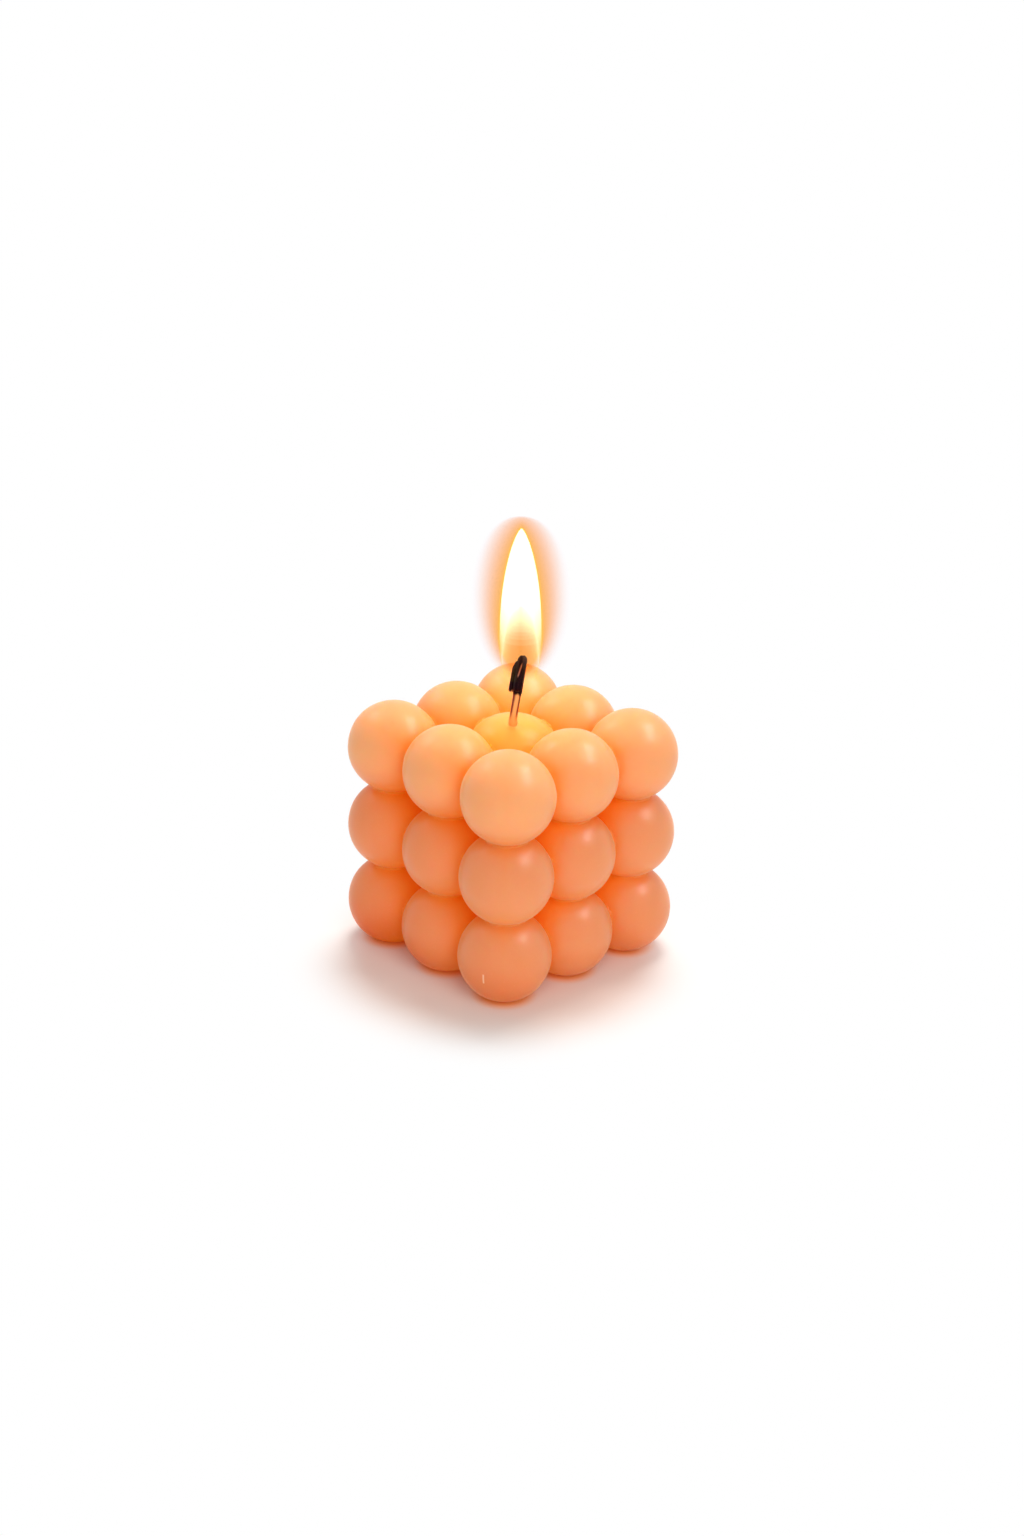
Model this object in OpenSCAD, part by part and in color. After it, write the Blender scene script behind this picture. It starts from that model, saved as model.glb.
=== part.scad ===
// Bubble cube candle: one cast block of wax, shaped as a cube of round
// bubbles, with a cotton wick that has burnt for a short while and its flame.
// Millimetres, +Z up. The base lies at z = 0 and the Z axis runs through the
// middle of the cube. The corner at -X -Y is the front corner.

/* [Wax cube] */
// Width of the cube across its outermost bubbles
cube_w = 60; // [50:1:80]
// How deep two neighbouring bubbles run into each other
overlap = 2; // [1.6:0.1:3]
// How far the floor of each pocket lies behind the centres of its four bubbles
pocket_inset = 2.2; // [1:0.1:2.4]
// Height of wax that is cut off flat under the lowest bubbles
base_cut = 0.7; // [0.3:0.1:1.5]
// Radius of the flatter crown that the heat has left on the middle bubble
crown_r = 20; // [16:1:30]
// How far that crown lies below the top that the bubble was cast with
crown_sink = 2; // [0.6:0.1:2.4]

/* [Wick] */
// Thickness of the waxed cotton
wick_d = 1.8; // [1.4:0.1:1.8]
// Clearance between the wick and its bore, all round
wick_clear = 0.1; // [0.05:0.05:0.2]
// How far the wick ends above the base
wick_recess = 0.5; // [0.2:0.1:2]
// How far the wick stands from the middle of the cube, towards the front corner
wick_offset = 4; // [0:0.5:5]
// Thickness of the wick's foot, where melted wax has climbed the cotton
foot_d = 2; // [1.9:0.05:2.4]
// Height of the foot's underside above the highest wax under it
foot_rise = 0.1; // [0.05:0.05:0.4]
// Radius of the bend in the foot, on its centre line
foot_bend_r = 12; // [6:1:20]
// Lean of the wick above its foot, in degrees
wick_lean = 7.5; // [4:0.5:15]
// Direction of the lean, in degrees from +X
lean_heading = -45; // [-90:5:0]
// Length of clean cotton between the foot and the char
stem_l = 5.2; // [4:0.2:8]

/* [Charred end] */
// Thickness of the charred cotton
char_d = 2.1; // [1.9:0.05:2.2]
// Length of the char from the clean cotton up to the hook
char_l = 7.6; // [6:0.1:12]
// Radius of the hook at the top, on its centre line
hook_r = 1.15; // [1.15:0.05:1.4]
// Direction of the hook, in degrees from the lean
hook_turn = -95; // [-150:5:-60]
// Length of the straight part of the leg that hangs from the hook
leg_l = 6.1; // [3:0.1:7]

/* [Flame] */
// Greatest width of the flame
flame_d = 9.6; // [8.5:0.1:13]
// Width of the flame at its lower rim
flame_rim_d = 6; // [5.6:0.1:8]
// Height of the flame from its lower rim to its tip
flame_h = 39; // [32:0.5:60]
// Height of the widest place above the lower rim
belly_h = 12.2; // [10:0.1:20]
// How quickly the flame thins towards its tip: 1 is as round as an ellipse
tip_taper = 1.4; // [1:0.05:1.8]
// Height of the lower rim above the wax
flame_lift = 9.6; // [8:0.2:10]
// Clearance between the flame and the wick
flame_clear = 0.3; // [0.1:0.05:0.35]

/* [Hidden] */
$fn = 96;

// Bubbles: three to each edge of the cube
steps = [-1, 0, 1];
bubble_count = len(steps);
pitch = (cube_w - overlap) / bubble_count;
bubble_r = (pitch + overlap) / 2;
mid_z = cube_w / 2 - base_cut;
core_w = 2 * (pitch - pocket_inset);

// Crown of the middle bubble: a larger sphere that takes the top off
crown_centre_z = mid_z + pitch + bubble_r - crown_sink - crown_r;

// Height of the crown at a distance from the middle of the cube
function crown_z(distance) = crown_centre_z + sqrt(crown_r * crown_r - distance * distance);

// Foot of the wick, just above the place where it leaves the wax
front_heading = -135;
wick_x = wick_offset * cos(front_heading);
wick_y = wick_offset * sin(front_heading);
wax_z = crown_z(wick_offset);
foot_z = crown_z(max(0, wick_offset - foot_d / 2)) + foot_rise;
bore_d = wick_d + 2 * wick_clear;

// Centre of the hook: how far it lies from the foot along the lean, to the
// side of the lean and upwards
hook_reach = foot_bend_r * (1 - cos(wick_lean)) + (stem_l + char_l) * sin(wick_lean)
    + hook_r * cos(hook_turn) * cos(wick_lean);
hook_side = hook_r * sin(hook_turn);
flame_x = wick_x + hook_reach * cos(lean_heading) - hook_side * sin(lean_heading);
flame_y = wick_y + hook_reach * sin(lean_heading) + hook_side * cos(lean_heading);
flame_z = wax_z + flame_lift;

// Outline of the flame: part of an ellipse below the belly, and above it one
// that thins towards the tip
rim_angle = acos(flame_rim_d / flame_d);
lower_semi_axis = belly_h / sin(rim_angle);
rim_steps = 8;
tip_steps = 20;
function below_belly(i) = let (a = -rim_angle * (1 - i / rim_steps))
    [flame_d / 2 * cos(a), belly_h + lower_semi_axis * sin(a)];
function above_belly(i) = let (a = 90 * i / tip_steps)
    [flame_d / 2 * pow(cos(a), tip_taper), belly_h + (flame_h - belly_h) * sin(a)];

// Length by which a cutting solid runs past what it cuts
past = 1;

// Wax

module bubble(column, row, layer) {
    translate([column * pitch, row * pitch, mid_z + layer * pitch])
        sphere(r = bubble_r);
}

module crowned_bubble() {
    intersection() {
        bubble(0, 0, 1);
        translate([0, 0, crown_centre_z])
            sphere(r = crown_r);
    }
}

module wax_core() {
    translate([0, 0, mid_z])
        cube(core_w, center = true);
}

module wick_bore() {
    translate([wick_x, wick_y, -past])
        cylinder(d = bore_d, h = wax_z + 2 * past);
}

module below_base() {
    translate([-cube_w / 2, -cube_w / 2, -bubble_r])
        cube([cube_w, cube_w, bubble_r]);
}

module wax_body() {
    color([0.95, 0.62, 0.42])
        difference() {
            union() {
                wax_core();
                crowned_bubble();
                for (column = steps, row = steps, layer = steps)
                    if (column != 0 || row != 0 || layer != 1)
                        bubble(column, row, layer);
            }
            wick_bore();
            below_base();
        }
}

// Wick

// Round cord bent about +Y, from the origin and upwards, towards +X
module bent_cord(d, bend_r, angle) {
    translate([bend_r, 0, 0])
        rotate([90, 0, 180])
            rotate_extrude(angle = angle)
                translate([bend_r, 0])
                    circle(d = d);
}

// Moves what follows to the end of such a bend
module after_bend(bend_r, angle) {
    translate([bend_r, 0, 0])
        rotate([0, angle, 0])
            translate([-bend_r, 0, 0])
                children();
}

// Moves what follows to the place where the wick leaves its foot
module on_lean() {
    translate([wick_x, wick_y, foot_z])
        rotate([0, 0, lean_heading])
            after_bend(foot_bend_r, wick_lean)
                children();
}

// Moves what follows to the start of the hook, turned the way that it curls
module at_hook() {
    on_lean()
        translate([0, 0, stem_l + char_l])
            rotate([0, 0, hook_turn])
                children();
}

// The clean cotton starts inside the foot and runs on a little into the char
module clean_cotton() {
    root = foot_bend_r * sin(wick_lean) / 4;
    translate([wick_x, wick_y, wick_recess])
        cylinder(d = wick_d, h = foot_z + root - wick_recess);
    translate([wick_x, wick_y, foot_z])
        rotate([0, 0, lean_heading])
            bent_cord(foot_d, foot_bend_r, wick_lean);
    on_lean()
        translate([0, 0, -root])
            cylinder(d = wick_d, h = root + stem_l + past);
}

module charred_cotton() {
    on_lean()
        translate([0, 0, stem_l])
            cylinder(d = char_d, h = char_l);
    at_hook() {
        bent_cord(char_d, hook_r, 180);
        translate([2 * hook_r, 0, -leg_l])
            cylinder(d = char_d, h = leg_l);
        translate([2 * hook_r, 0, -leg_l])
            sphere(d = char_d);
    }
}

module wick() {
    color([0.93, 0.55, 0.3])
        clean_cotton();
    color([0.13, 0.06, 0.06])
        charred_cotton();
}

// Flame

// Room round one leg of the wick: it reaches past the top of the hook
module leg_room(x) {
    room_r = char_d / 2 + flame_clear;
    rise = hook_r + char_d / 2;
    depth = stem_l + char_l;
    translate([x, 0, -depth])
        cylinder(r = room_r, h = depth + rise);
    translate([x, 0, rise])
        sphere(r = room_r);
}

// Room round both legs and the space between them
module wick_room() {
    at_hook()
        for (x = [0, hook_r, 2 * hook_r])
            leg_room(x);
}

module flame() {
    color([1, 0.85, 0.45, 0.6])
        difference() {
            translate([flame_x, flame_y, flame_z])
                rotate_extrude()
                    polygon(concat(
                        [[0, 0]],
                        [for (i = [0:rim_steps]) below_belly(i)],
                        [for (i = [1:tip_steps]) above_belly(i)]
                    ));
            wick_room();
        }
}

wax_body();
wick();
flame();
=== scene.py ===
import math

import bmesh
import bpy
import numpy as np
from mathutils import Matrix, Vector


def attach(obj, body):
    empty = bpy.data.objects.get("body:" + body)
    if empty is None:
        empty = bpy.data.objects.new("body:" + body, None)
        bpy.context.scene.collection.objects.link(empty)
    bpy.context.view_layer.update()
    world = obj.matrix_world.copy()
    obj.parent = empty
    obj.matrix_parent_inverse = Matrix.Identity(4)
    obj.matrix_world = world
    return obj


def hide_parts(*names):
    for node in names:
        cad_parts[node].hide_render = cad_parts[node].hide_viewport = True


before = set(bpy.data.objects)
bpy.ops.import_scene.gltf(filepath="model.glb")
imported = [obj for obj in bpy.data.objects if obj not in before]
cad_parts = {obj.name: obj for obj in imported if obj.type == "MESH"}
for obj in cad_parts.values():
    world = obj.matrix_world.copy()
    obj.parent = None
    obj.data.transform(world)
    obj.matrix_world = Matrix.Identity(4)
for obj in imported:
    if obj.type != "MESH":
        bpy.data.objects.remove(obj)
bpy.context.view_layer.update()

# Lengths below are in millimetres, as in the CAD source, and go into Blender in metres
MM = 0.001

# Wax cube, with the CAD source's own values
CUBE_W = 60.0
OVERLAP = 2.0
BASE_CUT = 0.7
POCKET_INSET = 2.2
CROWN_R = 20.0
CROWN_SINK = 2.0
PITCH = (CUBE_W - OVERLAP) / 3
BUBBLE_R = (PITCH + OVERLAP) / 2
MID_Z = CUBE_W / 2 - BASE_CUT
CORE_HALF = PITCH - POCKET_INSET
CROWN_CENTRE_Z = MID_Z + PITCH + BUBBLE_R - CROWN_SINK - CROWN_R

# Wick, with the CAD source's own values
WICK_OFFSET = 4.0
WICK_D = 1.8
WICK_CLEAR = 0.1
BORE_D = WICK_D + 2 * WICK_CLEAR
WICK_RECESS = 0.5
FOOT_D = 2.0
FOOT_RISE = 0.1
FOOT_BEND_R = 12.0
WICK_LEAN = math.radians(7.5)
LEAN_HEADING = math.radians(-45)
STEM_L = 5.2
CHAR_D = 2.1
CHAR_L = 7.6
HOOK_R = 1.15
HOOK_TURN = math.radians(-95)
LEG_L = 6.1
FRONT_HEADING = math.radians(-135)
WICK_X = WICK_OFFSET * math.cos(FRONT_HEADING)
WICK_Y = WICK_OFFSET * math.sin(FRONT_HEADING)
WAX_Z = CROWN_CENTRE_Z + math.sqrt(CROWN_R ** 2 - WICK_OFFSET ** 2)
FOOT_Z = CROWN_CENTRE_Z + math.sqrt(CROWN_R ** 2 - (WICK_OFFSET - FOOT_D / 2) ** 2) + FOOT_RISE

# Flame, with the CAD source's own values
FLAME_D = 9.6
FLAME_H = 39.0
BELLY_H = 12.2
TIP_TAPER = 1.4
FLAME_LIFT = 9.6
FLAME_R = FLAME_D / 2
FLAME_LOW = WAX_Z + FLAME_LIFT
FLAME_TOP = FLAME_LOW + FLAME_H
BELLY_Z = FLAME_LOW + BELLY_H

# Camera: direction, distance and roll that put the bubbles where the photograph has them
CAMERA_AZIMUTH = math.radians(-43.402)
CAMERA_ELEVATION = math.radians(22.858)
CAMERA_ROLL = math.radians(1.387)
CAMERA_DISTANCE = 546.6
CAMERA_RIGHT = 0.255
CAMERA_UP = 13.671
LENS = 55.04
SENSOR = 36.0
CLIP_NEAR = 10.0
CLIP_FAR = 50000.0

WHITE = (1.0, 1.0, 1.0, 1.0)
UP = Vector((0, 0, 1))
TINY = 1e-6


def srgb(r, g, b):
    """Linear colour of a display colour given as 0 to 255, by the sRGB curve."""
    linear = []
    for value in (r, g, b):
        share = value / 255
        if share <= 0.04045:
            linear.append(share / 12.92)
        else:
            linear.append(((share + 0.055) / 1.055) ** 2.4)
    return (*linear, 1.0)


# Camera

def camera_axes():
    """Right, up and back directions of the camera."""
    across = math.cos(CAMERA_ELEVATION)
    back = Vector((
        math.sin(CAMERA_AZIMUTH) * across,
        -math.cos(CAMERA_AZIMUTH) * across,
        math.sin(CAMERA_ELEVATION),
    ))
    level_right = (-back).cross(UP).normalized()
    level_up = level_right.cross(-back)
    c = math.cos(CAMERA_ROLL)
    s = math.sin(CAMERA_ROLL)
    right = c * level_right + s * level_up
    up = -s * level_right + c * level_up
    return right, up, back


def make_camera():
    """Puts the camera where the photograph was taken from."""
    right, up, back = camera_axes()
    place = Vector((0, 0, MID_Z)) + CAMERA_DISTANCE * back
    place = place + CAMERA_RIGHT * right + CAMERA_UP * up
    data = bpy.data.cameras.new("camera")
    data.sensor_width = SENSOR
    data.lens = LENS
    data.clip_start = CLIP_NEAR * MM
    data.clip_end = CLIP_FAR * MM
    camera = bpy.data.objects.new("camera", data)
    turn = Matrix((right, up, back)).transposed()
    camera.matrix_world = Matrix.Translation(place * MM) @ turn.to_4x4()
    bpy.context.scene.collection.objects.link(camera)
    bpy.context.scene.camera = camera


# Meshes

def new_object(name, points, faces, smooth=True):
    """Mesh object from points in millimetres."""
    mesh = bpy.data.meshes.new(name)
    mesh.from_pydata([tuple(p) for p in np.asarray(points) * MM], [], faces)
    mesh.update()
    if smooth:
        mesh.shade_smooth()
    obj = bpy.data.objects.new(name, mesh)
    bpy.context.scene.collection.objects.link(obj)
    return obj


def circle(x, y, z, radius, sides):
    """Points round a level circle."""
    turns = [2 * math.pi * side / sides for side in range(sides)]
    return [(x + radius * math.cos(turn), y + radius * math.sin(turn), z) for turn in turns]


def ring_faces(low, high, sides):
    """Faces between two rings of points, whose first points have these numbers."""
    faces = []
    for side in range(sides):
        after = (side + 1) % sides
        faces.append([low + side, low + after, high + after, high + side])
    return faces


def point_values(mesh, name, values):
    """Stores one number for each vertex under this name."""
    attribute = mesh.attributes.new(name, "FLOAT", "POINT")
    attribute.data.foreach_set("value", np.asarray(values, np.float32))


def vertex_places(mesh):
    """The vertices in millimetres."""
    flat = np.zeros(len(mesh.vertices) * 3)
    mesh.vertices.foreach_get("co", flat)
    return flat.reshape(-1, 3) / MM


# Distance to the wax

# Width over which two surfaces of the wax run into each other
FILLET = 0.8
CROWN_FILLET = 4.0
BASE_FILLET = 0.35
CORE_ROUNDING = 2.5

# Length over which the slope of the distance is taken
SLOPE_STEP = 0.01

# Melted wax that has climbed the wick
MENISCUS_H = 0.32
MENISCUS_REACH = 0.85

# Slight unevenness of the cast surface: depth, then rate and start of its wave along X, Y and Z
CAST_WAVE = 0.05
CAST_WAVE_RATES = ((0.31, 1.3), (0.27, 0.4), (0.29, 2.1))

CENTRES = [
    (column * PITCH, row * PITCH, MID_Z + layer * PITCH)
    for layer in (-1, 0, 1)
    for row in (-1, 0, 1)
    for column in (-1, 0, 1)
]
FRONT_LOWEST = CENTRES[0]
MIDDLE_TOP = CENTRES.index((0, 0, MID_Z + PITCH))


def smooth_min(a, b, width):
    """The smaller of two distances, rounded over where they are nearly equal."""
    blend = np.maximum(width - np.abs(a - b), 0) / width
    return np.minimum(a, b) - blend * blend * width / 4


def smooth_max(a, b, width):
    """The larger of two distances, rounded over in the same way."""
    return -smooth_min(-a, -b, width)


def bubble_distances(p):
    """Distance from each point to each bubble, the middle top one with its crown."""
    found = []
    for number, centre in enumerate(CENTRES):
        away = np.linalg.norm(p - np.array(centre), axis=1) - BUBBLE_R
        if number == MIDDLE_TOP:
            crown_centre = np.array((0, 0, CROWN_CENTRE_Z))
            crown = np.linalg.norm(p - crown_centre, axis=1) - CROWN_R
            away = smooth_max(away, crown, CROWN_FILLET)
        found.append(away)
    return np.array(found)


def core_distance(p):
    """Distance from each point to the core, a cube with rounded edges."""
    inner = CORE_HALF - CORE_ROUNDING
    outside = np.abs(p - np.array((0, 0, MID_Z))) - inner
    beyond = np.linalg.norm(np.maximum(outside, 0), axis=1)
    return beyond + np.minimum(outside.max(axis=1), 0) - CORE_ROUNDING


def wax_distance(p):
    """Distance to the cast wax without its bore: below zero inside."""
    found = bubble_distances(p)
    near = core_distance(p)
    for away in found:
        near = smooth_min(near, away, FILLET)
    from_wick = np.hypot(p[:, 0] - WICK_X, p[:, 1] - WICK_Y)
    climb = MENISCUS_H * np.exp(-np.maximum(from_wick - BORE_D / 2, 0) / MENISCUS_REACH)
    near = near - np.where(p[:, 2] > MID_Z + PITCH, climb, 0)
    wave = 1.0
    for axis, (rate, start) in enumerate(CAST_WAVE_RATES):
        wave = wave * np.sin(p[:, axis] * rate + start)
    near = near + CAST_WAVE * (1 + wave)
    return smooth_max(near, -p[:, 2], BASE_FILLET)


def wax_slope(p):
    """Direction in which the distance to the wax grows."""
    slope = np.zeros_like(p)
    for axis in range(3):
        shift = np.zeros(3)
        shift[axis] = SLOPE_STEP
        slope[:, axis] = wax_distance(p + shift) - wax_distance(p - shift)
    return slope / (2 * SLOPE_STEP)


# Wax

BUBBLE_SUBDIVISIONS = 4
VOXEL = 0.62
PROJECTIONS = 5
LEAST_SLOPE = 0.2
DRILL_SIDES = 64
DRILL_BELOW = 2.0
DRILL_ABOVE = 4.0
BORE_TOLERANCE = 0.02
UPRIGHT_WALL = 0.5


def rough_wax():
    """The bubbles and the core as one mesh with an even net of faces."""
    net = bmesh.new()
    for centre in CENTRES:
        place = Matrix.Translation(Vector(centre) * MM)
        bmesh.ops.create_icosphere(
            net, subdivisions=BUBBLE_SUBDIVISIONS, radius=BUBBLE_R * MM, matrix=place,
        )
    place = Matrix.Translation(Vector((0, 0, MID_Z)) * MM)
    bmesh.ops.create_cube(net, size=2 * CORE_HALF * MM, matrix=place)
    mesh = bpy.data.meshes.new("wax")
    net.to_mesh(mesh)
    net.free()
    obj = bpy.data.objects.new("wax", mesh)
    bpy.context.scene.collection.objects.link(obj)
    remesh = obj.modifiers.new("even net", "REMESH")
    remesh.mode = "VOXEL"
    remesh.voxel_size = VOXEL * MM
    bpy.context.view_layer.update()
    graph = bpy.context.evaluated_depsgraph_get()
    even = bpy.data.meshes.new_from_object(obj.evaluated_get(graph))
    obj.modifiers.clear()
    obj.data = even
    bpy.data.meshes.remove(mesh)
    return obj


def settle_on_wax(obj):
    """Moves every vertex onto the exact surface."""
    p = vertex_places(obj.data)
    for _ in range(PROJECTIONS):
        slope = wax_slope(p)
        size = np.maximum((slope ** 2).sum(axis=1), LEAST_SLOPE)
        p = p - slope * (wax_distance(p) / size)[:, None]
    p[:, 2] = np.maximum(p[:, 2], 0)
    obj.data.vertices.foreach_set("co", (p * MM).ravel())
    obj.data.update()


def cut_bore(obj):
    """Cuts the bore for the wick through the wax."""
    sides = DRILL_SIDES
    points = circle(WICK_X, WICK_Y, -DRILL_BELOW, BORE_D / 2, sides)
    points += circle(WICK_X, WICK_Y, WAX_Z + DRILL_ABOVE, BORE_D / 2, sides)
    faces = [list(range(sides))[::-1], list(range(sides, 2 * sides))]
    faces += ring_faces(0, sides, sides)
    drill = new_object("drill", points, faces, smooth=False)
    cut = obj.modifiers.new("bore", "BOOLEAN")
    cut.operation = "DIFFERENCE"
    cut.solver = "EXACT"
    cut.object = drill
    bpy.context.view_layer.update()
    graph = bpy.context.evaluated_depsgraph_get()
    bored = bpy.data.meshes.new_from_object(obj.evaluated_get(graph))
    obj.modifiers.clear()
    obj.data = bored
    bpy.data.objects.remove(drill)


def smooth_wax_normals(obj):
    """Shades the wax by its exact surface, and the bore's wall by its own round."""
    mesh = obj.data
    p = vertex_places(mesh)
    normals = wax_slope(p)
    normals /= np.maximum(np.linalg.norm(normals, axis=1), TINY)[:, None]
    radial = p[:, :2] - np.array((WICK_X, WICK_Y))
    on_bore = np.abs(np.hypot(radial[:, 0], radial[:, 1]) - BORE_D / 2) < BORE_TOLERANCE
    corners = []
    for face in mesh.polygons:
        wall = all(on_bore[v] for v in face.vertices) and abs(face.normal.z) < UPRIGHT_WALL
        for v in face.vertices:
            if wall:
                away = radial[v] / np.hypot(*radial[v])
                corners.append((-away[0], -away[1], 0.0))
            else:
                corners.append(tuple(normals[v]))
    mesh.shade_smooth()
    mesh.normals_split_custom_set(corners)


# Depth behind the outermost wax at which the painted shade of the pockets starts and is full
DEEP_FROM_LEFT = 0.2
DEEP_FROM_RIGHT = 3.4
DEEP_TO = 11.0

# Reach and strength of the painted shade in the creases, and what they gain near the flame
CREASE_REACH = 1.15
TOP_CREASE_REACH = 3.2
CREASE_SHARE = 0.6
TOP_CREASE_SHARE = 0.38

# The front corner, seen by the sum of X and Y, where both painted shades are weaker
CORNER_FROM = -38.0
CORNER_FADE = 10.0
CORNER_SHARE = 0.4

# Height below which the sides get painted shade, and the reach of the painted shade near the floor
SIDE_FROM = 44.0
SIDE_FADE = 11.0
FOOT_REACH = 10.0
FOOT_LEAST = 0.25
FOOT_RIGHT = 0.45
FOOT_LEFT_GAIN = 0.6

# Light of the flame in the wax: round the wick, on what faces it and on the bubbles behind it
GLOW_HEIGHT = 56.0
GLOW_REACH = 14.0
FACING_REACH = 46.0
FACING_SHARE = 0.15
BEHIND_FROM = 12.0
BEHIND_REACH = 16.0
NEAR_LIT = 0.28
BEHIND_LIT = 0.7


def ease(share):
    """Smooth step from 0 to 1."""
    return share * share * (3 - 2 * share)


def crease_line(p, near):
    """How near each point lies to a crease between two bubbles."""
    nearest = np.sort(bubble_distances(p), axis=0)
    reach = CREASE_REACH + TOP_CREASE_REACH * near
    line = np.exp(-np.maximum(nearest[1] - np.maximum(nearest[0], 0), 0) / reach)
    return line * (CREASE_SHARE + TOP_CREASE_SHARE * near)


def pocket_depth(p, at_left):
    """How deep each point lies behind the outermost wax."""
    half = CUBE_W / 2
    top = MID_Z + PITCH + BUBBLE_R
    depth = np.minimum(half - np.abs(p[:, 0]), half - np.abs(p[:, 1]))
    depth = np.minimum(depth, top - p[:, 2])
    deep_from = DEEP_FROM_RIGHT + (DEEP_FROM_LEFT - DEEP_FROM_RIGHT) * at_left
    return ease(np.clip((depth - deep_from) / (DEEP_TO - deep_from), 0, 1))


def foot_shade_share(p, at_left):
    """How much painted shade near the floor each point has: little at the front corner."""
    from_corner = np.abs(p[:, 0] + p[:, 1] + CUBE_W * 2 / 3) / (CUBE_W / 4)
    foot = np.exp(-((p[:, 2] / FOOT_REACH) ** 2)) * np.clip(from_corner, FOOT_LEAST, 1)
    return foot * (FOOT_RIGHT + FOOT_LEFT_GAIN * at_left)


def facing_flame(p):
    """How squarely the wax faces the flame, less with distance."""
    to_flame = np.array((FLAME_X, FLAME_Y, BELLY_Z)) - p
    distance = np.linalg.norm(to_flame, axis=1)
    facing = (wax_slope(p) * to_flame).sum(axis=1) / distance
    return np.clip(facing, 0, 1) * np.exp(-((distance / FACING_REACH) ** 2))


def wax_attributes(obj):
    """Stores on each vertex what the wax's material needs to know of its place."""
    p = vertex_places(obj.data)
    x, y, z = p.T
    from_glow = np.linalg.norm(p - np.array((WICK_X, WICK_Y, GLOW_HEIGHT)), axis=1)
    near = np.exp(-((from_glow / GLOW_REACH) ** 2))
    at_left = np.clip((y - x) / CUBE_W + 0.5, 0, 1)
    at_corner = np.clip((CORNER_FROM - x - y) / CORNER_FADE, 0, 1)
    kept = 1 - CORNER_SHARE * at_corner
    side = ease(np.clip((SIDE_FROM - z) / SIDE_FADE + 0.5, 0, 1))
    from_lowest = np.linalg.norm(p - np.array(FRONT_LOWEST), axis=1)
    facing = facing_flame(p)
    behind = np.clip((x + y - BEHIND_FROM) / BEHIND_REACH, 0, 1)
    # Painted shade in the creases and deep in the pockets, less at the front corner
    point_values(obj.data, "crease", crease_line(p, near) * kept)
    point_values(obj.data, "depth", pocket_depth(p, at_left) * kept)
    point_values(obj.data, "front", (from_lowest < BUBBLE_R + FILLET) & (x + y < -CUBE_W * 2 / 3))
    # Painted shade below the top layer, with more of it on the left
    point_values(obj.data, "side", side)
    point_values(obj.data, "shade", side * np.clip(2 * at_left - 1, 0, 1))
    point_values(obj.data, "foot", foot_shade_share(p, at_left))
    point_values(obj.data, "glow", np.clip(near + FACING_SHARE * facing, 0, 1))
    point_values(obj.data, "lit", NEAR_LIT * near + BEHIND_LIT * facing * behind)


# Materials

class Shader:
    """The nodes of a material or of the world, added one by one."""

    def __init__(self, owner, output="ShaderNodeOutputMaterial"):
        self.owner = owner
        owner.use_nodes = True
        self.tree = owner.node_tree
        self.tree.nodes.clear()
        self.out = self.tree.nodes.new(output)

    def feed(self, socket, value):
        """Gives a socket a number or a tuple, or links another socket to it."""
        if isinstance(value, (int, float, tuple)):
            socket.default_value = value
        else:
            self.tree.links.new(value, socket)

    def node(self, kind, inputs=None, **settings):
        """A new node with these settings, its inputs fed by name or number."""
        made = self.tree.nodes.new(kind)
        for name, value in settings.items():
            setattr(made, name, value)
        for key, value in (inputs or {}).items():
            self.feed(made.inputs[key], value)
        return made

    def show(self, made):
        """Gives what a shader node makes to the surface."""
        self.feed(self.out.inputs["Surface"], made.outputs[0])

    def attribute(self, name):
        """The number that each vertex holds under this name."""
        return self.node("ShaderNodeAttribute", attribute_name=name).outputs["Fac"]

    def math(self, operation, *values, clamp=False):
        """Result of a sum on numbers or sockets."""
        inputs = dict(enumerate(values))
        return self.node("ShaderNodeMath", inputs, operation=operation, use_clamp=clamp).outputs[0]

    def vector(self, operation, *values):
        """Node that works on places or directions, given as tuples or sockets."""
        return self.node("ShaderNodeVectorMath", dict(enumerate(values)), operation=operation)

    def mix(self, factor, a, b):
        """Mixes two colours, each a tuple or a socket."""
        return self.node("ShaderNodeMix", {0: factor, 6: a, 7: b}, data_type="RGBA").outputs[2]

    def mix_shader(self, factor, a, b):
        """Mixes what two shader nodes make, and gives it to the surface."""
        inputs = {0: factor, 1: a.outputs[0], 2: b.outputs[0]}
        self.show(self.node("ShaderNodeMixShader", inputs))

    def object_place(self):
        """The place on the object, in its own coordinates."""
        return self.node("ShaderNodeTexCoord").outputs["Object"]

    def noise(self, scale, detail, roughness):
        """Noise in the object's own coordinates, scale in waves to the metre."""
        inputs = {"Scale": scale, "Detail": detail, "Roughness": roughness}
        inputs["Vector"] = self.object_place()
        return self.node("ShaderNodeTexNoise", inputs).outputs["Fac"]

    def ramp(self, factor, low, high):
        """Stretches factor so that low becomes 0 and high becomes 1."""
        inputs = {"Value": factor, "From Min": low, "From Max": high}
        return self.node("ShaderNodeMapRange", inputs, interpolation_type="SMOOTHSTEP").outputs["Result"]

    def bump(self, height, strength, distance):
        """Normal of a surface that this height roughens, distance in metres."""
        inputs = {"Height": height, "Strength": strength, "Distance": distance}
        return self.node("ShaderNodeBump", inputs).outputs["Normal"]


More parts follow.
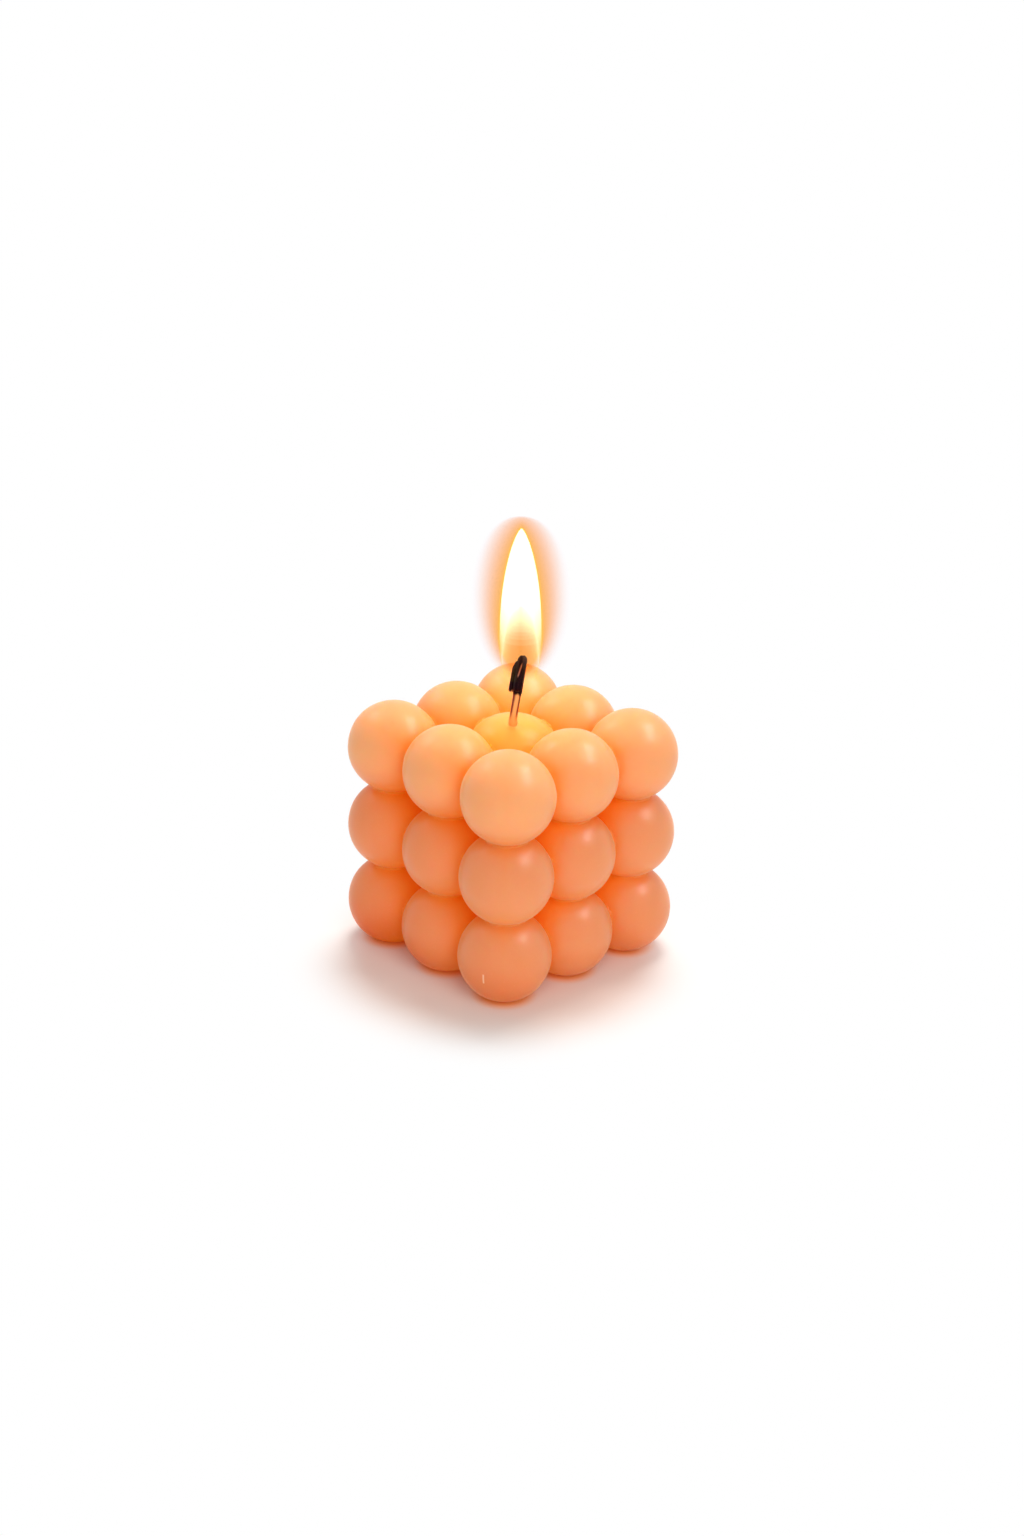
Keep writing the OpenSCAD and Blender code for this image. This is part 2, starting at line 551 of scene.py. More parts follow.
WAX_PEACH = srgb(253, 174, 114)
WAX_LOW = srgb(252, 169, 109)
WAX_DEEP_SHADE = srgb(240, 136, 6)
WAX_JOIN_SHADE = srgb(252, 134, 6)
WAX_GLOW = srgb(255, 160, 48)
WAX_PALE = srgb(253, 192, 150)
WAX_LOWER_SHADE = srgb(239, 154, 99)
WAX_SHADE = srgb(238, 143, 86)
WAX_FOOT_SHADE = srgb(222, 78, 12)
WAX_FLECK = srgb(255, 205, 168)
WAX_RIM = srgb(255, 214, 176)
WAX_INNER = (1.0, 0.20, 0.0, 1.0)
WAX_LIT = (1.0, 0.62, 0.08, 1.0)

# Clouds in the wax and its fine grain: waves to the metre, detail and roughness
CLOUD = (70, 3, 0.55)
CLOUD_SPREAD = (0.3, 0.7)
GRAIN = (2600, 2, 0.6)
GRAIN_SPREAD = (0.55, 0.8)
GRAIN_BUMP = 0.12
GRAIN_HEIGHT = 0.00004

# Share of each tint where it is strongest: painted shade near the floor, pale specks, painted shade in
# the pockets and painted light of the flame
FOOT_SHADE_SHARE = 0.82
SPECK_SHARE = 0.10
DEEP_SHADE_SHARE = 0.75
GLOW_SHARE = 0.75

# Light that comes out of the wax: in the pockets, near the flame, everywhere and in the top layer
INNER_STRENGTH = 0.07
LIT_STRENGTH = 0.40
LIT_YELLOW_GAIN = 4.0
WHOLE_STRENGTH = 0.04
UPPER_STRENGTH = 0.03

# Surface: roughness and what the clouds add, shine and what the creases take from it
WAX_ROUGHNESS = 0.30
CLOUD_ROUGHNESS = 0.12
WAX_SHINE = 0.5
SHINE_LOSS = 0.46
SHEEN_ROUGHNESS = 0.25
WAX_IOR = 1.44
SCATTER_SHARE = 0.85
SCATTER_SCALE = 0.0034
SCATTER_RADIUS = (1.0, 0.36, 0.14)

# Fleck low on the front corner
FLECK_PLACE = Vector((-29.17, -23.11, 8.7))
FLECK_H = 2.3
FLECK_WIDTH = 0.34
FLECK_EDGE = 0.12


def fleck_mask(s):
    """A short upright pale fleck on the lowest bubble at the front corner."""
    outwards = FLECK_PLACE - Vector(FRONT_LOWEST)
    along = Vector((-outwards.y, outwards.x, 0)).normalized()
    away = s.vector("SUBTRACT", s.object_place(), tuple(FLECK_PLACE * MM)).outputs[0]
    mask = s.attribute("front")
    for way, half in ((along, FLECK_WIDTH / 2), (UP, FLECK_H / 2)):
        size = s.math("ABSOLUTE", s.vector("DOT_PRODUCT", away, tuple(way)).outputs["Value"])
        inside = s.ramp(size, (half + FLECK_EDGE) * MM, (half - FLECK_EDGE) * MM)
        mask = s.math("MULTIPLY", mask, inside)
    return mask


def wax_colour(s, cloud, grain):
    """Colour of the wax: its own, then painted shade lower down, on its left and near the floor, pale
    specks, painted shade in its pockets, painted light of the flame, painted shade in its creases and a
    pale fleck.
    """
    colour = s.mix(s.ramp(cloud, *CLOUD_SPREAD), WAX_LOW, WAX_PEACH)
    # Painted shade below the top layer, then more of it on the left
    colour = s.mix(s.attribute("side"), colour, WAX_LOWER_SHADE)
    colour = s.mix(s.attribute("shade"), colour, WAX_SHADE)
    # Painted shade near the floor, darker and redder
    colour = s.mix(s.math("MULTIPLY", s.attribute("foot"), FOOT_SHADE_SHARE), colour, WAX_FOOT_SHADE)
    speck = s.math("MULTIPLY", s.ramp(grain, *GRAIN_SPREAD), SPECK_SHARE)
    colour = s.mix(speck, colour, WAX_PALE)
    # Painted shade deep in the pockets between the bubbles
    colour = s.mix(s.math("MULTIPLY", s.attribute("depth"), DEEP_SHADE_SHARE), colour, WAX_DEEP_SHADE)
    colour = s.mix(s.math("MULTIPLY", s.attribute("glow"), GLOW_SHARE), colour, WAX_GLOW)
    # Painted shade along the creases where bubbles join
    colour = s.mix(s.attribute("crease"), colour, WAX_JOIN_SHADE)
    return s.mix(fleck_mask(s), colour, WAX_FLECK)


def wax_light(s):
    """Colour and strength of the flame's light inside the wax, as light that comes out of it."""
    lit = s.attribute("lit")
    yellow = s.math("MULTIPLY", lit, LIT_YELLOW_GAIN, clamp=True)
    inner = s.math("MULTIPLY", s.attribute("depth"), INNER_STRENGTH)
    near_flame = s.math("MULTIPLY", lit, LIT_STRENGTH)
    upper = s.math("MULTIPLY", s.math("SUBTRACT", 1.0, s.attribute("side")), UPPER_STRENGTH)
    whole = s.math("ADD", upper, WHOLE_STRENGTH)
    strength = s.math("ADD", s.math("ADD", inner, near_flame), whole)
    return s.mix(yellow, WAX_INNER, WAX_LIT), strength


def wax_material():
    """Wax that lets light in, with a soft shine that fades in its creases."""
    s = Shader(bpy.data.materials.new("wax"))
    cloud = s.noise(*CLOUD)
    grain = s.noise(*GRAIN)
    light, strength = wax_light(s)
    dull = s.math("MAXIMUM", s.attribute("depth"), s.attribute("crease"))
    dull = s.math("MAXIMUM", dull, s.attribute("foot"))
    shine = s.math("SUBTRACT", WAX_SHINE, s.math("MULTIPLY", dull, SHINE_LOSS))
    s.show(s.node("ShaderNodeBsdfPrincipled", {
        "Base Color": wax_colour(s, cloud, grain),
        "Roughness": s.math("MULTIPLY_ADD", cloud, CLOUD_ROUGHNESS, WAX_ROUGHNESS),
        "IOR": WAX_IOR,
        "Normal": s.bump(grain, GRAIN_BUMP, GRAIN_HEIGHT),
        "Subsurface Weight": SCATTER_SHARE,
        "Subsurface Radius": SCATTER_RADIUS,
        "Subsurface Scale": SCATTER_SCALE,
        "Specular IOR Level": shine,
        "Sheen Weight": shine,
        "Sheen Roughness": SHEEN_ROUGHNESS,
        "Sheen Tint": WAX_RIM,
        "Emission Color": light,
        "Emission Strength": strength,
    }))
    return s.owner


def make_wax():
    """The cast wax, with its bore."""
    obj = rough_wax()
    settle_on_wax(obj)
    cut_bore(obj)
    wax_attributes(obj)
    smooth_wax_normals(obj)
    obj.data.materials.clear()
    obj.data.materials.append(wax_material())
    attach(obj, "root")
    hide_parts("wax_body")


# Wick

# Steps along the route: in the wax, near its top, and in number for each stretch above it
WAX_STEP = 3.0
NEAR_TOP_STEP = 0.3
NEAR_TOP = 3.0
FOOT_GAP = 0.5
BEND_STEPS = 6
STRAIGHT_STEPS = 56
HOOK_STEPS = 16
LEG_STEPS = 24

# Level ways along and across the lean, way of the stem, and way in which the hook curls
LEAN_WAY = Vector((math.cos(LEAN_HEADING), math.sin(LEAN_HEADING), 0))
SIDE_WAY = Vector((-math.sin(LEAN_HEADING), math.cos(LEAN_HEADING), 0))
STEM_WAY = LEAN_WAY * math.sin(WICK_LEAN) + UP * math.cos(WICK_LEAN)
FLAT_WAY = LEAN_WAY * math.cos(WICK_LEAN) - UP * math.sin(WICK_LEAN)
CURL_WAY = FLAT_WAY * math.cos(HOOK_TURN) + SIDE_WAY * math.sin(HOOK_TURN)


def bend_point(angle):
    """Place on the bend in the wick's foot, at this angle from its start."""
    reach = FOOT_BEND_R * (1 - math.cos(angle))
    rise = FOOT_BEND_R * math.sin(angle)
    return Vector((WICK_X, WICK_Y, FOOT_Z)) + LEAN_WAY * reach + UP * rise


def wick_route():
    """Centre line of the wick from its lower end to the end of the leg, in millimetres."""
    route = []
    z = WICK_RECESS
    while z < FOOT_Z - FOOT_GAP:
        near_top = z > WAX_Z - NEAR_TOP
        route.append(Vector((WICK_X, WICK_Y, z)))
        z += NEAR_TOP_STEP if near_top else WAX_STEP
    for i in range(BEND_STEPS + 1):
        route.append(bend_point(WICK_LEAN * i / BEND_STEPS))
    start = route[-1]
    for i in range(1, STRAIGHT_STEPS + 1):
        route.append(start + STEM_WAY * (STEM_L + CHAR_L) * i / STRAIGHT_STEPS)
    top = route[-1]
    for i in range(1, HOOK_STEPS + 1):
        a = math.pi * i / HOOK_STEPS
        route.append(top + CURL_WAY * HOOK_R * (1 - math.cos(a)) + STEM_WAY * HOOK_R * math.sin(a))
    end = route[-1]
    for i in range(1, LEG_STEPS + 1):
        route.append(end - STEM_WAY * LEG_L * i / LEG_STEPS)
    return route


def sweep(route, radii, shape, sides, twist=0.0):
    """Tube along a route, where shape(turn, length) scales its radius.

    Gives its points and faces, and the turn and length of each point.
    """
    tangents = []
    for i in range(len(route)):
        before = route[max(i - 1, 0)]
        after = route[min(i + 1, len(route) - 1)]
        tangents.append((after - before).normalized())
    across = UP.cross(tangents[0])
    if across.length < TINY:
        across = Vector((1, 0, 0))
    across = (across - tangents[0] * across.dot(tangents[0])).normalized()
    points = []
    faces = []
    turns = []
    lengths = []
    length = 0.0
    for i, place in enumerate(route):
        if i:
            length += (route[i] - route[i - 1]).length
            across = (across - tangents[i] * across.dot(tangents[i])).normalized()
        other = tangents[i].cross(across)
        for side in range(sides):
            own_turn = 2 * math.pi * side / sides
            turn = own_turn + twist * length
            reach = radii[i] * shape(own_turn, length)
            points.append(place + (across * math.cos(turn) + other * math.sin(turn)) * reach)
            turns.append(own_turn)
            lengths.append(length)
        if i:
            faces += ring_faces((i - 1) * sides, i * sides, sides)
    for ring, place, flip in ((0, route[0], True), (len(route) - 1, route[-1], False)):
        middle = len(points)
        points.append(place)
        turns.append(0.0)
        lengths.append(0.0 if flip else length)
        for side in range(sides):
            a = ring * sides + side
            b = ring * sides + (side + 1) % sides
            faces.append([b, a, middle] if flip else [a, b, middle])
    return points, faces, turns, lengths


# Lengths along the cord at which it leaves the wax and at which the char starts
FOOT_AT = FOOT_Z - WICK_RECESS
CHAR_AT = FOOT_AT + FOOT_BEND_R * WICK_LEAN + STEM_L

# Cord: sides of its tube, twist in radians to the millimetre, and how its radius changes
WICK_SIDES = 56
WICK_TWIST = 0.03
CHAR_GROW = 0.9
FLARE_R = 0.14
FLARE_REACH = 0.8
FLARE_BELOW = 3.0
END_LEAST = 0.02

# Grooves between the plies of the cotton and between the strands of the char
PLIES = 3
# The phase sets the grooves at the cord's sides as the camera sees them, where their colour is painted
# shade
PLY_PHASE = -0.09
PLY_DEPTH = 0.10
PLY_POWER = 1.5
CHAR_PLIES = 7
CHAR_PLY_DEPTH = 0.13
CHAR_PLY_POWER = 1.3
CHAR_WANDER = 0.25
CHAR_WANDER_RATE = 1.1
PLY_TO_CHAR = 1.2
KNOTS = ((0.03, 5.2, 2), (0.02, 9.7, -1))

# Ragged edge of the char, and the scorched spot below it
EDGE_WANDER = ((0.30, 2, 1), (0.15, 5, 0))
EDGE_FADE = 0.5
SPOT_TURN = 3.55
SPOT_BELOW = 1.5
SPOT_WIDTH = 0.5
SPOT_H = 0.9
SPOT_TO = 1.25
SPOT_FADE = 0.4

# Strand that has come loose beside the hook: its start, and how far it stands aside
STRAND_L = 7.7
STRAND_R = 0.58
STRAND_SIDES = 16
STRAND_STEPS = 26
STRAND_START = 0.85
STRAND_CURL = 1.1
STRAND_CHARRED = 0.45
STRAND_ASIDE = 0.55
STRAND_BULGE = 0.80
STRAND_BULGE_TO = 0.28
STRAND_DRIFT = 0.10
STRAND_END_LEAST = 0.03

# Ends of the streak of light on the leg
GLINT_LOW = (-3.77, -5.05, 68.9)
GLINT_HIGH = (-2.39, -4.85, 71.5)
GLINT_WIDTH = 0.13
GLINT_FADE = 0.6
GLINT_LEAST = 0.3


def loose_strand():
    """Centre line and radii of the charred strand that has come loose beside the hook."""
    right = camera_axes()[0]
    top = bend_point(WICK_LEAN) + STEM_WAY * (STEM_L + CHAR_L + STRAND_START)
    top = top + CURL_WAY * HOOK_R * STRAND_CURL
    beside = (right - STEM_WAY * right.dot(STEM_WAY)).normalized() * -1
    route = []
    radii = []
    for i in range(STRAND_STEPS + 1):
        share = i / STRAND_STEPS
        bulge = math.sin(math.pi / 2 * min(share / STRAND_BULGE_TO, 1))
        aside = STRAND_ASIDE + STRAND_BULGE * bulge + STRAND_DRIFT * share
        route.append(top - STEM_WAY * STRAND_L * share + beside * aside)
        to_end = min(share, 1 - share) * STRAND_L / STRAND_R
        radii.append(STRAND_R * math.sqrt(max(1 - max(1 - to_end, 0) ** 2, STRAND_END_LEAST)))
    return route, radii


def glint_mask(obj):
    """A narrow streak along the front of the leg, where the char catches the flame's light."""
    back = np.array(camera_axes()[2])
    low = np.array(GLINT_LOW)
    way = np.array(GLINT_HIGH) - low
    length = np.linalg.norm(way)
    way = way / length
    beside = np.cross(way, back)
    beside = beside / np.linalg.norm(beside)
    away = vertex_places(obj.data) - low
    along = away @ way
    aside = away @ beside
    ends = np.clip(np.minimum(along, length - along) / GLINT_FADE + GLINT_LEAST, 0, 1)
    return ends * np.exp(-((aside / GLINT_WIDTH) ** 2)) * (away @ back > 0)


def route_lengths(route):
    """Length along the route at each of its points."""
    lengths = [0.0]
    for before, after in zip(route, route[1:]):
        lengths.append(lengths[-1] + (after - before).length)
    return np.array(lengths)


def wick_radii(lengths):
    """Radius of the cord: thicker where it is charred, flared in the melted wax, round at its end."""
    to_char = np.clip((lengths - CHAR_AT) / CHAR_GROW + 0.5, 0, 1)
    radii = WICK_D / 2 * (1 - to_char) + CHAR_D / 2 * to_char
    flare = np.exp(-(np.abs(lengths - FOOT_AT) / FLARE_REACH) ** 2)
    radii = radii + FLARE_R * flare * (lengths > FOOT_AT - FLARE_BELOW)
    left = np.clip(lengths[-1] - lengths, 0, CHAR_D / 2)
    return radii * np.sqrt(np.maximum(1 - (1 - left / (CHAR_D / 2)) ** 2, END_LEAST))


def ply_height(turn):
    """From 0 in the groove between two plies of the cotton to 1 on a ply."""
    return np.abs(np.cos(PLIES * turn / 2 + PLY_PHASE))


def strand_height(turn, length):
    """From 0 in the groove between two strands of the char to 1 on a strand."""
    return np.abs(np.cos(CHAR_PLIES * turn / 2 + CHAR_WANDER * np.sin(length * CHAR_WANDER_RATE)))


def cord_shape(turn, length):
    """Share of the cord's radius that its plies and strands leave at a place."""
    charred = min(max((length - CHAR_AT) / PLY_TO_CHAR + 0.5, 0), 1)
    cotton = 1 - PLY_DEPTH * (1 - ply_height(turn)) ** PLY_POWER
    knots = sum(size * math.sin(length * rate + turn * turns) for size, rate, turns in KNOTS)
    char = 1 - CHAR_PLY_DEPTH * (1 - strand_height(turn, length)) ** CHAR_PLY_POWER + knots
    return min(cotton * (1 - charred) + char * charred, 1.0)


def char_mask(turns, along):
    """Which places are charred: those past a ragged edge, and the scorched spot."""
    wander = sum(size * np.sin(turns * count + start) for size, count, start in EDGE_WANDER)
    charred = np.clip((along - CHAR_AT + wander) / EDGE_FADE + 0.5, 0, 1)
    from_spot = np.hypot((turns - SPOT_TURN) / SPOT_WIDTH, (along - CHAR_AT + SPOT_BELOW) / SPOT_H)
    return np.maximum(charred, np.clip((SPOT_TO - from_spot) / SPOT_FADE, 0, 1))


def make_wick():
    """The braided cord with its charred hook and the loose strand beside it."""
    route = wick_route()
    radii = wick_radii(route_lengths(route))
    points, faces, turns, along = sweep(route, radii, cord_shape, WICK_SIDES, WICK_TWIST)
    strand_route, strand_radii = loose_strand()
    strand_points, strand_faces, strand_turns, strand_lengths = sweep(
        strand_route, strand_radii, lambda turn, length: 1.0, STRAND_SIDES,
    )
    first = len(points)
    points.extend(strand_points)
    faces.extend([[first + v for v in face] for face in strand_faces])
    turns.extend(strand_turns)
    along.extend([CHAR_AT + STRAND_L - length - STRAND_CHARRED for length in strand_lengths])
    obj = new_object("wick_cord", points, faces)
    turns = np.array(turns)
    along = np.array(along)
    point_values(obj.data, "glint", glint_mask(obj))
    point_values(obj.data, "ply", ply_height(turns))
    point_values(obj.data, "strand", strand_height(turns, along))
    point_values(obj.data, "charred", char_mask(turns, along))
    point_values(obj.data, "height", (along - FOOT_AT) / (CHAR_AT - FOOT_AT))
    obj.data.materials.append(wick_material())
    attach(obj, "root")
    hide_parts("wick")


COTTON_LIGHT = srgb(255, 200, 122)
COTTON_FIBRE_AND_EDGE_SHADE = srgb(122, 38, 12)
COTTON_FOOT_SHADE = srgb(250, 176, 90)
CHAR_DARK = srgb(22, 4, 14)
CHAR_CREST_HIGHLIGHT = srgb(56, 24, 30)
CHAR_GLINT = srgb(196, 136, 114)

# Fibres: waves to the metre, detail and roughness, then the spread that breaks up the painted highlight
# on the char
FIBRE = (5200, 3, 0.6)
FIBRE_SPREAD = (0.35, 0.65)
FIBRE_SHARE = 0.25
FIBRE_BUMP = 0.5
FIBRE_HEIGHT = 0.00006
PLY_SPREAD = (0.40, 0.96)
FOOT_SHADE_SPREAD = (0.45, 0.0)
CREST_HIGHLIGHT_SPREAD = (0.45, 1.0)
WICK_ROUGHNESS = 0.5
WICK_SHINE = 0.5
CHAR_SHINE_LOSS = 0.44


def wick_material():
    """Waxed cotton below, with dark fibres, painted shade down its edges and at its foot, and charred
    cotton above, with a painted highlight on its strands and a painted streak of light.
    """
    s = Shader(bpy.data.materials.new("wick_cotton"))
    fibre = s.noise(*FIBRE)
    # Painted shade down the cord's edges, in the grooves between its plies, then dark fibres at random
    clean = s.mix(s.ramp(s.attribute("ply"), *PLY_SPREAD), COTTON_FIBRE_AND_EDGE_SHADE, COTTON_LIGHT)
    clean = s.mix(s.math("MULTIPLY", fibre, FIBRE_SHARE), clean, COTTON_FIBRE_AND_EDGE_SHADE)
    # Painted shadow at the foot of the cord, where it leaves the wax
    clean = s.mix(s.ramp(s.attribute("height"), *FOOT_SHADE_SPREAD), clean, COTTON_FOOT_SHADE)
    # Painted highlight along the crests of the char's strands, broken up by the fibres
    strand = s.math("MULTIPLY", s.attribute("strand"), s.ramp(fibre, *FIBRE_SPREAD))
    burnt = s.mix(s.ramp(strand, *CREST_HIGHLIGHT_SPREAD), CHAR_DARK, CHAR_CREST_HIGHLIGHT)
    colour = s.mix(s.attribute("charred"), clean, burnt)
    lost = s.math("MULTIPLY", s.attribute("charred"), CHAR_SHINE_LOSS)
    s.show(s.node("ShaderNodeBsdfPrincipled", {
        "Base Color": s.mix(s.attribute("glint"), colour, CHAR_GLINT),
        "Roughness": WICK_ROUGHNESS,
        "Normal": s.bump(fibre, FIBRE_BUMP, FIBRE_HEIGHT),
        "Specular IOR Level": s.math("SUBTRACT", WICK_SHINE, lost),
    }))
    return s.owner


# Flame

# The bright body: its tip, how it closes below the belly, and the shift and lean of its axis,
# towards the photograph's left where they are below zero
BRIGHT_TOP = 103.2
LOWER_REACH = 16.0
LOWER_POWER = 1.6
AXIS_SHIFT = -0.42
AXIS_LEAN = -0.0148
REVOLVE_SIDES = 72
BODY_STEPS = 48

# Middle of the hook at the wick's end, where the flame stands
HOOK_CENTRE = bend_point(WICK_LEAN) + STEM_WAY * (STEM_L + CHAR_L) + CURL_WAY * HOOK_R
FLAME_X = HOOK_CENTRE.x
FLAME_Y = HOOK_CENTRE.y


def flame_axis(z):
    """Middle of the flame at a height: it leans a little to the photograph's left."""
    shift = AXIS_SHIFT + AXIS_LEAN * (z - BELLY_Z)
    x = FLAME_X + math.cos(CAMERA_AZIMUTH) * shift
    y = FLAME_Y + math.sin(CAMERA_AZIMUTH) * shift
    return x, y


def share_between(value, low, high):
    """Share of the way from low to high, from 0 to 1."""
    return min(max((value - low) / (high - low), 0), 1)


def flame_radius(z, widest=FLAME_R, top=BRIGHT_TOP):
    """Radius of the bright body at a height: it thins to a point above its belly."""
    if z >= BELLY_Z:
        u = share_between(z, BELLY_Z, top)
        return widest * (1 - u * u) ** (TIP_TAPER / 2)
    share = min((BELLY_Z - z) / LOWER_REACH, 1)
    return widest * math.sqrt(1 - share ** LOWER_POWER)


def revolve(outlines):
    """Points, faces and the shell each face belongs to, for surfaces round the flame's axis."""
    points = []
    faces = []
    shells = []
    for shell, outline in enumerate(outlines):
        for ring, (radius, z) in enumerate(outline):
            if ring:
                low = len(points) - REVOLVE_SIDES
                faces += ring_faces(low, low + REVOLVE_SIDES, REVOLVE_SIDES)
                shells += [shell] * REVOLVE_SIDES
            points += circle(*flame_axis(z), z, radius, REVOLVE_SIDES)
    return points, faces, shells


def film(name, depths):
    """Clear hot gas that takes out this optical depth of red, green and blue."""
    s = Shader(bpy.data.materials.new(name))
    left = [math.exp(-depth) for depth in depths]
    s.show(s.node("ShaderNodeBsdfTransparent", {"Color": (*left, 1.0)}))
    return s.owner


def fire(name, colour, strength, solid):
    """Glowing gas that also shows what is behind it."""
    s = Shader(bpy.data.materials.new(name))
    glow = s.node("ShaderNodeEmission", {"Color": (*colour, 1.0), "Strength": strength})
    s.mix_shader(solid, s.node("ShaderNodeBsdfTransparent"), glow)
    return s.owner


def flame_object(name, points, faces, materials, smooth):
    """A piece of the flame, kept out of shadows and of the light that falls on the wax."""
    obj = new_object(name, points, faces, smooth)
    for material in materials:
        obj.data.materials.append(material)
    obj.visible_shadow = False
    obj.visible_diffuse = False
    obj.visible_glossy = False
    obj.visible_transmission = False
    obj.visible_volume_scatter = False
    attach(obj, "root")
    return obj


def flame_shells(name, outlines, materials):
    """Surfaces round the flame's axis, one inside another, each with its own material."""
    points, faces, shells = revolve(outlines)
    obj = flame_object(name, points, faces, materials, smooth=True)
    obj.data.polygons.foreach_set("material_index", shells)


# Thin upright sheets of bright gas, with a hollow round the wick
FIN_COUNT = 96
FIN_STEPS = 44
FIN_LOW = 69.4
FIN_TOP = BRIGHT_TOP - 0.05
FIN_COLOUR = (1.0, 0.80, 1.12)
FIN_STRENGTH = 4.6
FIN_SOLID = 0.0135
FIN_WALL_TO = 74.4
HOLLOW_LOW = 72.0
HOLLOW_TOP = 85.5
HOLLOW_R = 3.9

# Yellow edge of the bright body, in the same kind of sheets
EDGE_LOW = 68.5
EDGE_FULL_FROM = 72.5
EDGE_TOP = BRIGHT_TOP + 0.1
EDGE_INSIDE = 0.15
EDGE_OUTSIDE = 0.30
EDGE_COLOUR = (1.0, 0.72, 0.03)
EDGE_STRENGTH = 1.6
EDGE_SOLID = 0.02

# White skins just inside the edge
SKIN_COUNT = 14
SKIN_LOW = 77.6
SKIN_RISE = 9.5
SKIN_RISE_POWER = 0.75
SKIN_TOP = BRIGHT_TOP - 0.1
SKIN_INSET = 0.12
SKIN_INSET_GAIN = 0.10
SKIN_STRENGTH = 4.6
SKIN_SOLID = 0.027

# Orange glow: its optical depth in red, green and blue, and how its films lie
GLOW_FILMS = 24
GLOW_STEPS = 56
GLOW_LOW = 70.6
GLOW_DROP = 2.6
GLOW_SPREAD = 6.3
GLOW_BELLY_RISE = 8.5
GLOW_TOP_FULL = 0.45
GLOW_TOP_GAP = 0.02
GLOW_TAPER = 0.74
GLOW_TAPER_LOSS = 0.52
GLOW_TAPER_LEAST = 0.40
GLOW_BLUE = 2.1
GLOW_GREEN = 0.74
GLOW_GREEN_RATE = 3.2
GLOW_GREEN_POWER = 2.2
GLOW_RED = 0.02

# Clear gas round the wick's end: its optical depth in all, and how its films lie
GAS_FILMS = 6
GAS_STEPS = 24
GAS_DEPTH = (0.0, 0.24, 0.30)
GAS_LOW = 69.0
GAS_LOW_GAIN = 2.0
GAS_TOP = 82.0
GAS_TOP_LOSS = 3.0
GAS_WIDTH = 0.5
GAS_WIDTH_GAIN = 0.42
GAS_ROUNDNESS = 0.7


def fins(name, profile, low, top, material):
    """Thin upright sheets that stand round the axis: more of them cross at the flame's side."""
    points = []
    faces = []
    for fin in range(FIN_COUNT):
        turn = 2 * math.pi * fin / FIN_COUNT
        base = len(points)
        for k in range(FIN_STEPS + 1):
            z = low + (top - low) * math.sin(math.pi / 2 * k / FIN_STEPS)
            x, y = flame_axis(z)
            for radius in profile(z):
                points.append((x + radius * math.cos(turn), y + radius * math.sin(turn), z))
        for k in range(FIN_STEPS):
            row = base + 2 * k
            faces.append([row, row + 1, row + 3, row + 2])
    return flame_object(name, points, faces, [material], smooth=False)


def bright_profile(z):
    """Inner and outer radius of the bright gas: a wall low down, closed over the wick higher up."""
    outer = flame_radius(z)
    share = share_between(z, HOLLOW_LOW, HOLLOW_TOP)
    inner = min(HOLLOW_R * math.sqrt(1 - share * share), outer)
    return outer - (outer - inner) * share_between(z, FIN_LOW, FIN_WALL_TO), outer


def edge_profile(z):
    """Inner and outer radius of the yellow edge."""
    outer = flame_radius(z)
    grown = share_between(z, EDGE_LOW, EDGE_FULL_FROM)
    return max(outer - EDGE_INSIDE, 0), outer + EDGE_OUTSIDE * grown


def make_skins():
    """White skins whose lower rims lie one above another, so that they fade downwards."""
    skins = []
    materials = []
    for i in range(SKIN_COUNT):
        u = i / (SKIN_COUNT - 1)
        low = SKIN_LOW + SKIN_RISE * u ** SKIN_RISE_POWER
        widest = FLAME_R - SKIN_INSET - SKIN_INSET_GAIN * (1 - u)
        outline = []
        for k in range(BODY_STEPS + 1):
            z = low + (SKIN_TOP - low) * math.sin(math.pi / 2 * k / BODY_STEPS)
            outline.append((flame_radius(z, widest, SKIN_TOP), z))
        skins.append(outline)
        materials.append(fire("skin_%02d" % i, FIN_COLOUR, SKIN_STRENGTH, SKIN_SOLID))
    flame_shells("flame_b_skins", skins, materials)


def half_turns(steps):
    """Angles from straight down to straight up."""
    return [-math.pi / 2 + math.pi * k / steps for k in range(steps + 1)]


def make_gas():
    """Clear gas inside the lower flame, which shows by its colour alone."""
    gas = []
    materials = []
    depths = [depth / (2 * GAS_FILMS) for depth in GAS_DEPTH]
    for i in range(GAS_FILMS):
        u = i / (GAS_FILMS - 1)
        low = GAS_LOW + GAS_LOW_GAIN * (1 - u)
        top = GAS_TOP - GAS_TOP_LOSS * (1 - u)
        outline = []
        for angle in half_turns(GAS_STEPS):
            z = (low + top) / 2 + (top - low) / 2 * math.sin(angle)
            widest = (GAS_WIDTH + GAS_WIDTH_GAIN * u) * flame_radius(z)
            outline.append((widest * math.cos(angle) ** GAS_ROUNDNESS, z))
        gas.append(outline)
        materials.append(film("gas_%02d" % i, depths))
    flame_shells("flame_e_gas", gas, materials)


def glow_depth(u):
    """How much red, green and blue the glow takes out beyond a share of its reach."""
    red = GLOW_RED * (1 - u)
    green = GLOW_GREEN * math.exp(-GLOW_GREEN_RATE * u ** GLOW_GREEN_POWER)
    blue = GLOW_BLUE * (1 - u) ** 2
    return red, green, blue


